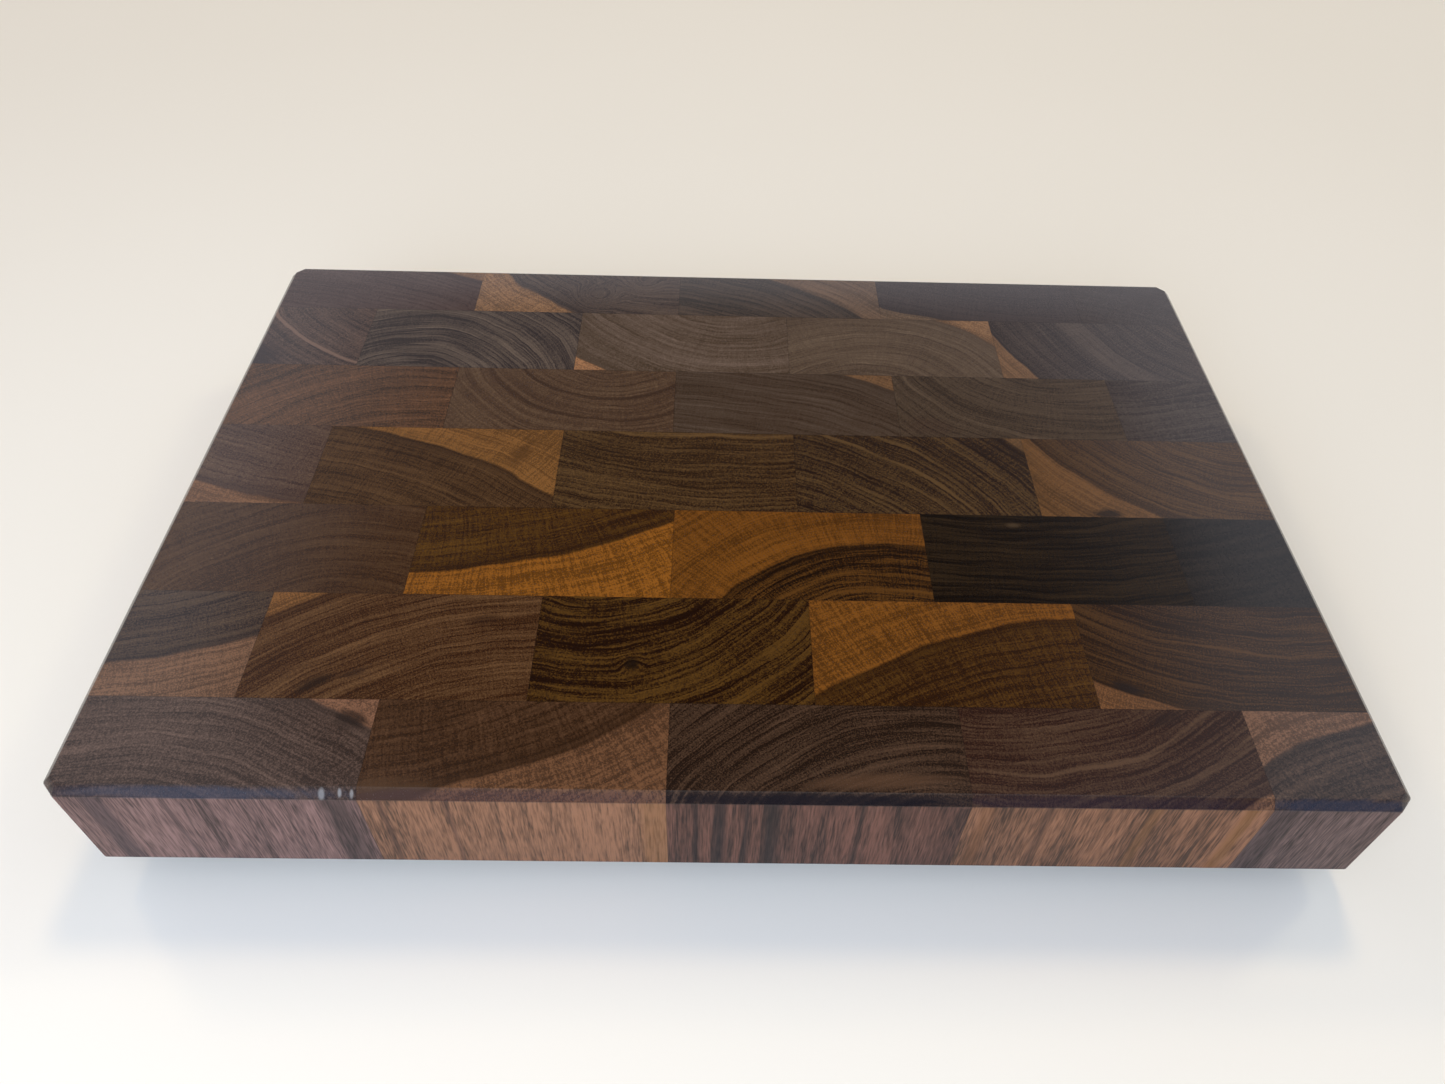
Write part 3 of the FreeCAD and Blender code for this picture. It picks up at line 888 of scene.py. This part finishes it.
# %% Model one washer
WASHER_RADIUS = 6.2 * MM
WASHER_ROUND = 0.12 * MM   # the edge that stamping rolls over
washer_low, washer_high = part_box("foot_washers")
washer = start(
    "washer", bpy.ops.mesh.primitive_cylinder_add, vertices=SIDES_ROUND // 2,
    radius=WASHER_RADIUS, depth=washer_high.z - washer_low.z,
    location=(axis.x, axis.y, (washer_low.z + washer_high.z) / 2),
)
inset_to(washer, axis, -1, washer_low.z, CLEAR_RADIUS)
inset_to(washer, axis, 1, washer_high.z, CLEAR_RADIUS)
join_hole(washer, axis, CLEAR_RADIUS)
select_edges(washer, lambda e: e.calc_face_angle(0) > 1.2)
bpy.ops.mesh.bevel(offset=WASHER_ROUND, segments=2, profile=0.5)
bpy.ops.mesh.select_all(action="SELECT")
bpy.ops.mesh.normals_make_consistent(inside=False)
finish_shape(washer)
print("washer faces", len(washer.data.polygons))

# %% Model one screw
screw_low, screw_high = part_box("foot_screws")
HEAD_RADIUS = 4.1 * MM
HEAD_HEIGHT = 2.6 * MM
HEAD_DOME = 1.5 * MM
CORE_RADIUS = 1.6 * MM    # of the shank under the thread
CREST_RADIUS = 2.1 * MM   # of the thread's crest
POINT = 4 * MM
BLUNT = 0.08              # what is left of the shank's width at the very point
head_top = screw_low.z + HEAD_HEIGHT
screw = start(
    "screw", bpy.ops.mesh.primitive_cylinder_add, vertices=48, radius=HEAD_RADIUS, depth=HEAD_HEIGHT,
    location=(axis.x, axis.y, screw_low.z + HEAD_HEIGHT / 2),
)
select_edges(screw, lambda e: all(v.co.z < screw_low.z + TINY for v in e.verts))
bpy.ops.mesh.bevel(offset=HEAD_DOME, segments=7, profile=0.5)
inset_to(screw, axis, 1, head_top, CORE_RADIUS)
shank = screw_high.z - POINT - head_top
bpy.ops.mesh.extrude_region_move(TRANSFORM_OT_translate={"value": (0, 0, shank)})
bpy.ops.mesh.extrude_region_move(TRANSFORM_OT_translate={"value": (0, 0, POINT)})
bpy.ops.transform.resize(value=(BLUNT, BLUNT, 1), center_override=(axis.x, axis.y, screw_high.z))
finish_shape(screw)
print("screw", round((screw_high.z - screw_low.z) / MM, 1), "mm long")

# %% Cut its cross
CROSS = (4.6 * MM, 1.1 * MM, 3.0 * MM)   # length, width and twice the depth of one blade
CROSS_TIP = 0.6                          # how much narrower a blade is at its tip
for angle in (0, 90):
    blade = start(
        "blade", bpy.ops.mesh.primitive_cube_add, size=1, scale=CROSS,
        location=(axis.x, axis.y, screw_low.z), rotation=(0, 0, math.radians(angle)),
    )
    select_faces(blade, lambda f: f.normal.z > 0.9)
    bpy.ops.transform.resize(value=(CROSS_TIP, CROSS_TIP, 1), center_override=(axis.x, axis.y, 0))
    bpy.ops.object.mode_set(mode="OBJECT")
    cut = screw.modifiers.new("cross", "BOOLEAN")
    cut.operation = "DIFFERENCE"
    cut.solver = "EXACT"
    cut.object = blade
    bpy.context.view_layer.objects.active = screw
    bpy.ops.object.modifier_apply(modifier=cut.name)
    bpy.data.objects.remove(blade)
print("screw faces", len(screw.data.polygons))

# %% Wind the thread
PITCH = 1.4 * MM
BARE_NECK = 1.5 * MM      # of shank between the head and the thread
ROOT = CORE_RADIUS - 0.1 * MM   # the thread starts a little inside the shank
bpy.ops.object.select_all(action="DESELECT")
bpy.ops.mesh.primitive_circle_add(vertices=3, radius=0.4 * MM, fill_type="NOTHING")
thread = bpy.context.object
thread.name = "thread"
thread_low = head_top + BARE_NECK
turns = int((screw_high.z - POINT - thread_low) / PITCH)
ridge = ((ROOT, 0.0), (CREST_RADIUS, PITCH / 4), (ROOT, PITCH / 2))
for vertex, (out, up) in zip(thread.data.vertices, ridge):
    vertex.co = (out, 0, thread_low + up)
wind = thread.modifiers.new("wind", "SCREW")
wind.axis = "Z"
wind.steps = 24
wind.render_steps = 24
wind.angle = math.radians(360)
wind.screw_offset = PITCH
wind.iterations = turns
bpy.ops.object.modifier_apply(modifier=wind.name)
thread.data.transform(Matrix.Translation((axis.x, axis.y, 0)))
bpy.ops.object.mode_set(mode="EDIT")
bpy.ops.mesh.select_all(action="SELECT")
bpy.ops.mesh.remove_doubles(threshold=TINY / 2)
select_edges(thread, lambda e: e.is_boundary)
bpy.ops.mesh.fill()
bpy.ops.mesh.select_all(action="SELECT")
bpy.ops.mesh.normals_make_consistent(inside=False)
bpy.ops.object.mode_set(mode="OBJECT")
bpy.ops.object.select_all(action="DESELECT")
thread.select_set(True)
screw.select_set(True)
bpy.context.view_layer.objects.active = screw
bpy.ops.object.join()
bpy.ops.object.shade_smooth_by_angle(angle=math.radians(30))
print("thread turns", turns, "faces with thread", len(screw.data.polygons))


# %% Copy both to the feet
def copy_to_feet(model, name):
    """One piece made of four copies, one in each foot."""
    copies = [
        copy_to(model, name, Vector((at.x - axis.x, at.y - axis.y, 0))) for at in foot_places
    ]
    bpy.data.objects.remove(model)
    bpy.ops.object.select_all(action="DESELECT")
    for each in copies:
        each.select_set(True)
    bpy.context.view_layer.objects.active = copies[0]
    bpy.ops.object.join()
    copies[0].name = name
    return copies[0]


washers = copy_to_feet(washer, "foot_washers_steel")
screws = copy_to_feet(screw, "foot_screws_steel")
print("washers", len(washers.data.polygons), "screws", len(screws.data.polygons), "faces")

# %% [markdown]
# ## Rubber and steel
# The feet are moulded rubber: nearly black, matt, with a faint mottle and a
# dusty bloom. The washers are stamped from stainless sheet and the screws are
# cold headed from stainless wire, so both are bare bright metal, mottled where
# the tool has rubbed it and a little duller on the screws.

# %% Moulded rubber
RUBBER_INDEX = 1.52
GRIT = 0.6 * MM       # between the grains that the mould leaves
BLOOM = 9 * MM        # between patches of dust
rubber, tree, shader = new_finish("rubber_moulded_black")
place = add(tree, "TexCoord").outputs["Object"]
grit = add(tree, "TexNoise", {"Vector": place, "Scale": 1 / GRIT, "Detail": 3.0})
bloom = add(tree, "TexNoise", {"Vector": place, "Scale": 1 / BLOOM, "Detail": 2.0})
dust = add(tree, "MapRange", {"Value": bloom.outputs["Fac"], "From Min": 0.35, "From Max": 0.75})
skin = add(tree, "Mix", {"Factor": dust.outputs[0], 6: linear("#161617"), 7: linear("#29292a")},
           data_type="RGBA")
tree.links.new(skin.outputs[2], shader.inputs["Base Color"])
matt = add(tree, "MapRange", {"Value": bloom.outputs["Fac"], "To Min": 0.5, "To Max": 0.8})
tree.links.new(matt.outputs[0], shader.inputs["Roughness"])
dimple = add(tree, "Bump", {"Strength": 0.3, "Distance": 0.05 * MM, "Height": grit.outputs["Fac"]})
tree.links.new(dimple.outputs[0], shader.inputs["Normal"])
shader.inputs["IOR"].default_value = RUBBER_INDEX
print("rubber", len(tree.nodes), "nodes")

# %% Stainless steel
RUB = 1.5 * MM        # between patches that the tool has rubbed


def stainless_steel(name, bright, dull):
    """Bare stainless steel: smooth, mottled a little where the tool has rubbed it."""
    finish, tree, shader = new_finish(name)
    place = add(tree, "TexCoord").outputs["Object"]
    cloud = add(tree, "TexNoise", {"Vector": place, "Scale": 1 / RUB, "Detail": 4.0})
    metal = add(tree, "Mix", {"Factor": cloud.outputs["Fac"], 6: linear(dull), 7: linear(bright)},
                data_type="RGBA")
    tree.links.new(metal.outputs[2], shader.inputs["Base Color"])
    scuff = add(tree, "MapRange", {"Value": cloud.outputs["Fac"], "To Min": 0.2, "To Max": 0.45})
    tree.links.new(scuff.outputs[0], shader.inputs["Roughness"])
    shader.inputs["Metallic"].default_value = 1.0
    return finish


steel_pieces = (
    (washers, "foot_washers", stainless_steel("stainless_steel_stamped", "#c8cacc", "#9a9c9f")),
    (screws, "foot_screws", stainless_steel("stainless_steel_cold_headed", "#c2c1be", "#8f8e8b")),
)
for piece, node, finish in steel_pieces:
    piece.data.materials.clear()
    piece.data.materials.append(finish)
    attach(piece, "root")
    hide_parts(node)
for node, piece in feet.items():
    piece.data.materials.clear()
    piece.data.materials.append(rubber)
    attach(piece, "root")
    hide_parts(node)
